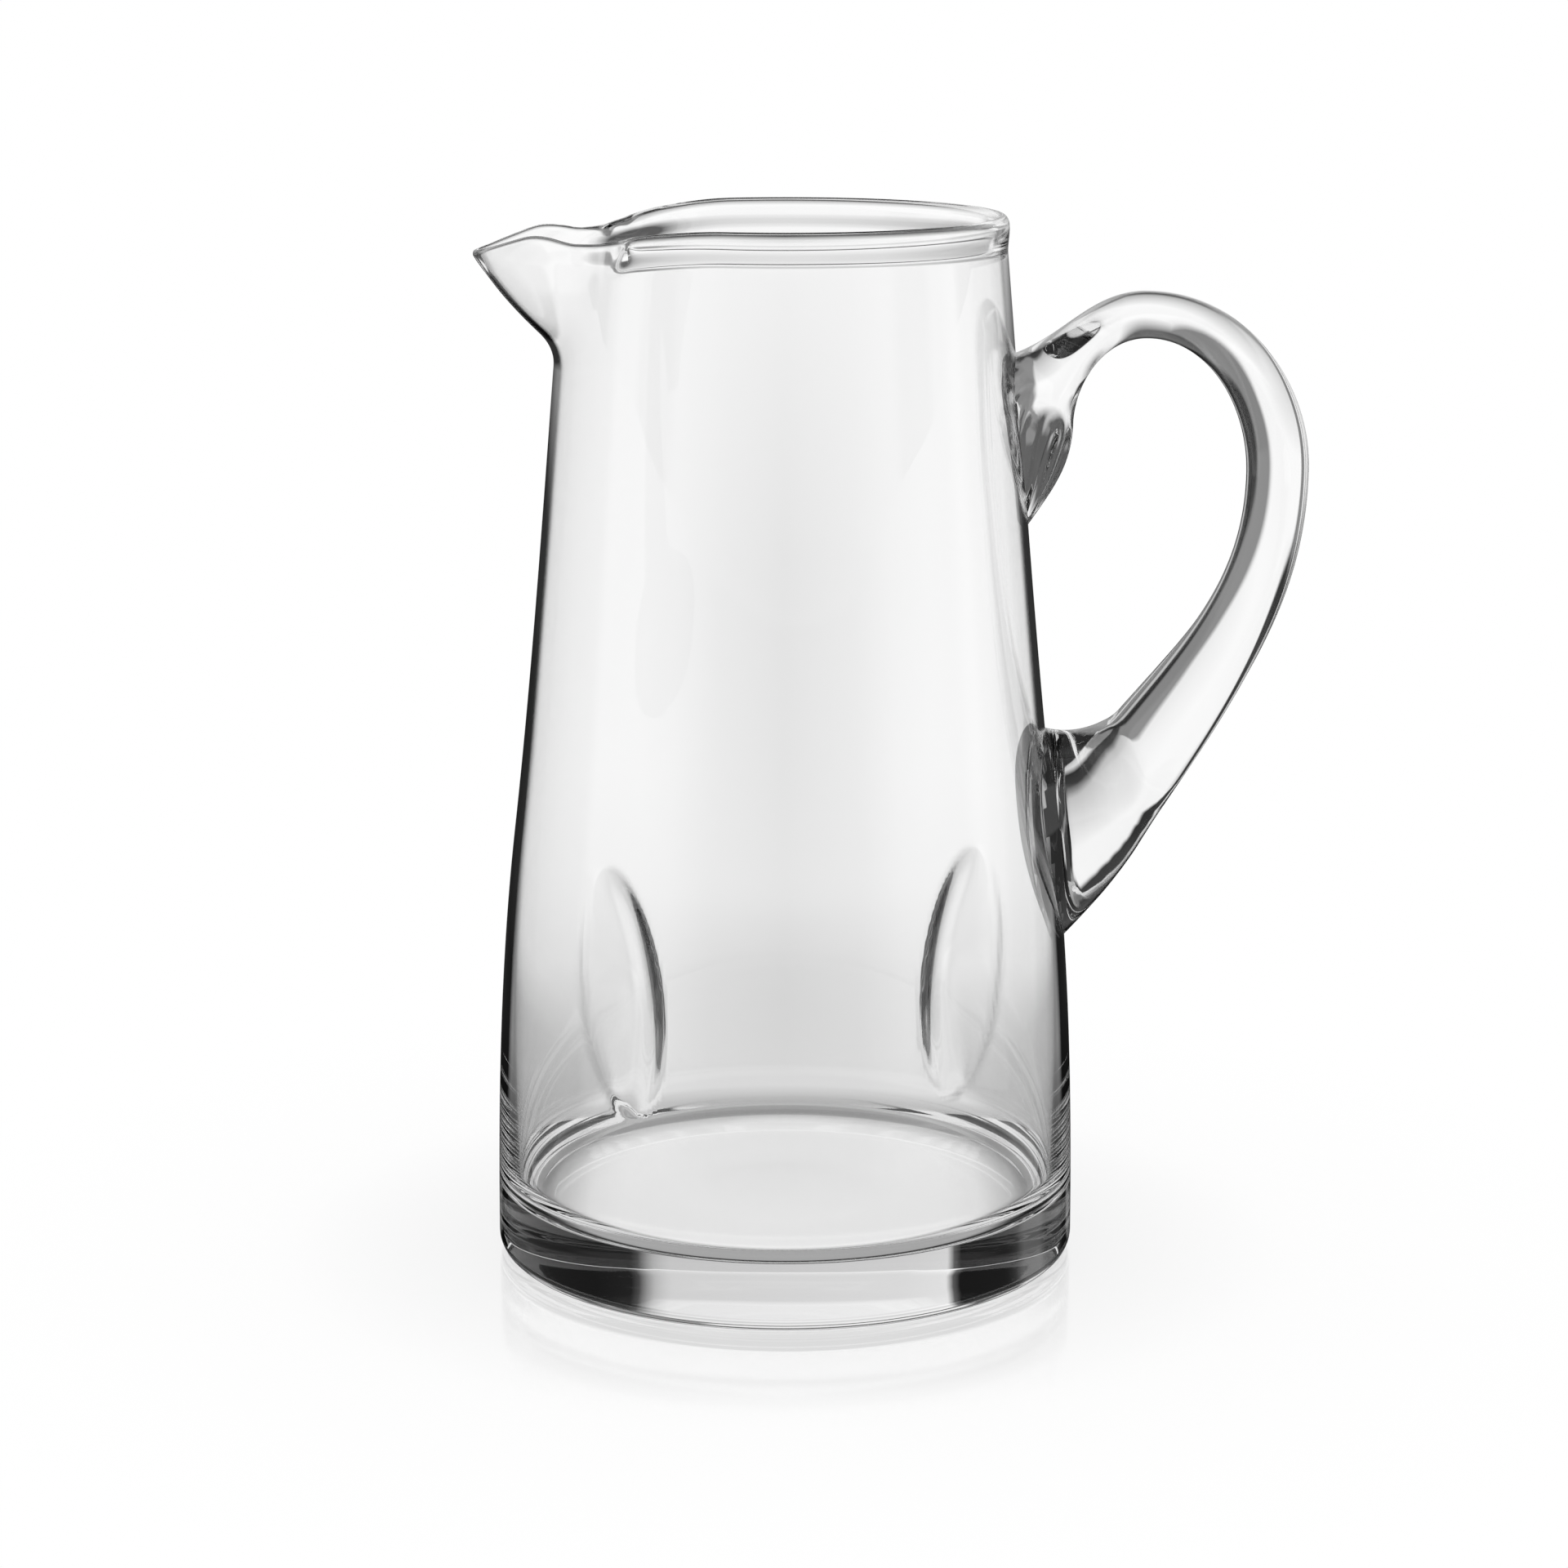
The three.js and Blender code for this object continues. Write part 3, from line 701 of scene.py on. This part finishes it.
class Sky(Board):
    """The world's nodes, with a ray's direction and how often it was let through and mirrored."""

    def __init__(self, owner):
        super().__init__(owner)
        place = self.node("ShaderNodeTexCoord")
        split = self.node("ShaderNodeSeparateXYZ")
        self.join(place.outputs["Generated"], split.inputs[0])
        x, y, self.rise = split.outputs
        self.azimuth = self.times(self.calc("ARCTAN2", x, y), 180 / math.pi)
        self.path = self.node("ShaderNodeLightPath").outputs
        self.passed = self.path["Transmission Depth"]
        self.bounced = self.path["Glossy Depth"]
        self.up = self.over(self.rise, 0.0)
        self.high = self.over(self.rise, HIGH)
        self.deep = self.over(self.passed, ONE_WALL)
        self.in_seam = self.over(self.passed, TWO_WALLS)

    def sides(self, stops):
        return self.grade(self.azimuth, -180, 180, stops)

    def heights(self, stops):
        return self.grade(self.rise, -1, 1, stops)


def glass(name, color, ior, wave_scale, wave_height):
    """Clear glass with the faint waves that hot working leaves in its skin."""
    material = bpy.data.materials.new(name)
    board = Board(material)
    shader = board.node("ShaderNodeBsdfPrincipled")
    shader.inputs["Base Color"].default_value = (*color, 1)
    shader.inputs["Roughness"].default_value = 0.0
    shader.inputs["IOR"].default_value = ior
    shader.inputs["Transmission Weight"].default_value = 1.0
    place = board.node("ShaderNodeTexCoord")
    noise = board.node("ShaderNodeTexNoise")
    noise.inputs["Scale"].default_value = wave_scale
    noise.inputs["Detail"].default_value = WAVE_DETAIL
    bump = board.node("ShaderNodeBump")
    bump.inputs["Distance"].default_value = wave_height
    board.join(place.outputs["Object"], noise.inputs["Vector"])
    board.join(noise.outputs["Fac"], bump.inputs["Height"])
    board.join(bump.outputs["Normal"], shader.inputs["Normal"])
    out = board.node("ShaderNodeOutputMaterial")
    board.join(shader.outputs[0], out.inputs["Surface"])
    return material


def straight_level(sky):
    """Grey for rays that were not mirrored, by how many walls they passed."""
    aside = sky.sides(SIDES_ASIDE)
    behind = sky.most(sky.heights(HEIGHTS_THROUGH), aside)
    one_wall = sky.least(sky.sides(SIDES_THROUGH), behind)
    shade = sky.times(sky.sides(SIDES_SHADED), sky.heights(HEIGHTS_SHADED))
    beyond = sky.most(sky.minus(sky.heights(HEIGHTS_BEYOND), shade), aside)
    two_walls = sky.least(beyond, sky.sides(SIDES_BEYOND))
    more = sky.times(sky.sides(SIDES_BY_SEAM), sky.heights(HEIGHTS_BY_SEAM))
    return sky.mix(sky.deep, one_wall, sky.mix(sky.in_seam, two_walls, more))


def turned_level(sky):
    """Grey for rays that were mirrored: on the outer skin, inside one wall or the base, or deeper."""
    above = sky.heights(HEIGHTS_ABOVE)
    skin = sky.times(sky.sides(SIDES_BY_SKIN), sky.heights(HEIGHTS_BY_SKIN))
    skin = sky.most(skin, sky.heights(HEIGHTS_STEEP))
    outside = sky.mix(sky.heights(HEIGHTS_RISING), skin, above)
    odd = sky.calc("MODULO", sky.bounced, 2.0)
    in_base = sky.minus(1.0, sky.calc("ABSOLUTE", sky.minus(odd, sky.up)))
    in_base = sky.times(in_base, sky.under(sky.bounced, BASE_BOUNCES))
    panel = sky.times(sky.sides(SIDES_BY_PANEL), sky.heights(HEIGHTS_BY_PANEL))
    in_wall = sky.mix(in_base, outside, sky.mix(sky.high, panel, above))
    in_depth = sky.mix(sky.up, sky.sides(SIDES_BY_DEPTH_LOW), sky.sides(SIDES_BY_DEPTH_HIGH))
    in_depth = sky.mix(sky.high, in_depth, above)
    in_maze = sky.over(sky.bounced, MAZE_BOUNCES)
    in_depth = sky.mix(in_maze, in_depth, sky.sides(SIDES_BY_MAZE))
    in_depth = sky.mix(sky.in_seam, in_depth, sky.sides(SIDES_IN_SEAM))
    entered = sky.over(sky.passed, NEVER)
    return sky.mix(entered, outside, sky.mix(sky.deep, in_wall, in_depth))


def build_world():
    """A surround that is plain white to the camera and to the floor, and graded for rays from the glass."""
    world = bpy.data.worlds.new("studio")
    bpy.context.scene.world = world
    sky = Sky(world)
    level = sky.mix(sky.over(sky.bounced, NEVER), straight_level(sky), turned_level(sky))
    plain = sky.most(sky.path["Is Camera Ray"], sky.path["Is Diffuse Ray"])
    light = sky.node("ShaderNodeBackground")
    light.inputs["Color"].default_value = (1, 1, 1, 1)
    sky.join(sky.mix(plain, level, 1.0), light.inputs["Strength"])
    out = sky.node("ShaderNodeOutputWorld")
    sky.join(light.outputs[0], out.inputs["Surface"])


def floor_material():
    """White ground, partly matt and mirroring near the object, clear to most rays that left the glass; near
    the object, rays that passed both walls unmirrored see painted shadow on it instead of white.
    """
    material = bpy.data.materials.new("floor")
    board = Board(material)
    path = board.node("ShaderNodeLightPath").outputs
    first = path["Is Camera Ray"]
    place = board.node("ShaderNodeTexCoord").outputs["Object"]
    length = board.node("ShaderNodeVectorMath", operation="LENGTH")
    board.join(place, length.inputs[0])
    split = board.node("ShaderNodeSeparateXYZ")
    board.join(place, split.inputs[0])

    def by_radius(stops):
        return board.grade(length.outputs["Value"], 0, FLOOR_FAR, stops)

    # Emission: white to the camera, and to rays through the glass the painted shadow, darker round the heel
    # and to the sides
    white = board.node("ShaderNodeEmission")
    across = board.grade(board.calc("ABSOLUTE", split.outputs[0]), 0, FLOOR_FAR, FLOOR_SHADE_PAINTED_SIDEWAYS)
    painted_floor_shadow = board.times(across, by_radius(FLOOR_SHADOW_PAINTED_THROUGH))
    board.join(board.mix(first, painted_floor_shadow, 1.0), white.inputs["Strength"])
    matt = board.node("ShaderNodeBsdfDiffuse")
    matt.inputs["Color"].default_value = (1, 1, 1, 1)
    mirror = board.node("ShaderNodeBsdfGlossy")
    mirror.inputs["Roughness"].default_value = FLOOR_ROUGHNESS
    ground = board.blend(board.times(by_radius(FLOOR_MATT), first), white.outputs[0], matt.outputs[0])
    ground = board.blend(board.times(by_radius(FLOOR_MIRROR), first), ground, mirror.outputs[0])
    # Near the object, rays that passed both walls unmirrored see the painted shadow; other rays but the
    # camera's go clear through
    direct = board.under(path["Glossy Depth"], NEVER)
    deep = board.over(path["Transmission Depth"], ONE_WALL)
    through = board.times(board.times(direct, deep), by_radius(FLOOR_PAINTED_SHADOW_SHARE))
    clear = board.node("ShaderNodeBsdfTransparent")
    out = board.node("ShaderNodeOutputMaterial")
    board.join(board.blend(board.most(first, through), clear.outputs[0], ground), out.inputs["Surface"])
    return material


def build_floor():
    half = FLOOR_HALF
    corners = [(-half, -half, 0), (half, -half, 0), (half, half, 0), (-half, half, 0)]
    mesh = bpy.data.meshes.new("floor")
    mesh.from_pydata(corners, [], [(0, 1, 2, 3)])
    mesh.materials.append(floor_material())
    floor = add_object("floor", mesh)
    floor.location.z = -FLOOR_DROP


def build_camera():
    data = bpy.data.cameras.new("camera")
    data.lens = CAMERA_LENS
    data.sensor_width = CAMERA_SENSOR
    camera = add_object("camera", data)
    camera.location = [value * MM for value in CAMERA_PLACE]
    camera.rotation_euler = (math.radians(90 - CAMERA_PITCH), 0, 0)
    bpy.context.scene.camera = camera


def build_pieces():
    blown = glass("vessel_glass", GLASS_COLOR, GLASS_IOR, VESSEL_WAVES, WAVE_HEIGHT)
    drawn = glass("handle_glass", GLASS_COLOR, GLASS_IOR, HANDLE_WAVES, WAVE_HEIGHT)
    seam = glass("fused_glass", FUSED_COLOR, FUSED_IOR, VESSEL_WAVES, 0.0)
    sections, buried = handle_rings()
    handle = loft("pitcher_handle", sections, buried, (drawn, seam))
    rings = vessel_rings()
    covered = inside(rings.reshape(-1, 3), handle).reshape(rings.shape[:2])
    vessel = loft("pitcher_vessel", rings, covered, (blown, seam))
    for piece, node in ((vessel, "vessel"), (handle, "handle")):
        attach(piece, "root")
        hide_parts(node)


def set_render():
    scene = bpy.context.scene
    scene.view_settings.view_transform = "Standard"
    scene.cycles.use_denoising = True
    scene.cycles.max_bounces = MAX_BOUNCES
    scene.cycles.transmission_bounces = MAX_BOUNCES
    scene.cycles.glossy_bounces = GLOSSY_BOUNCES
    scene.cycles.transparent_max_bounces = MAX_BOUNCES


build_camera()
build_world()
build_floor()
build_pieces()
set_render()
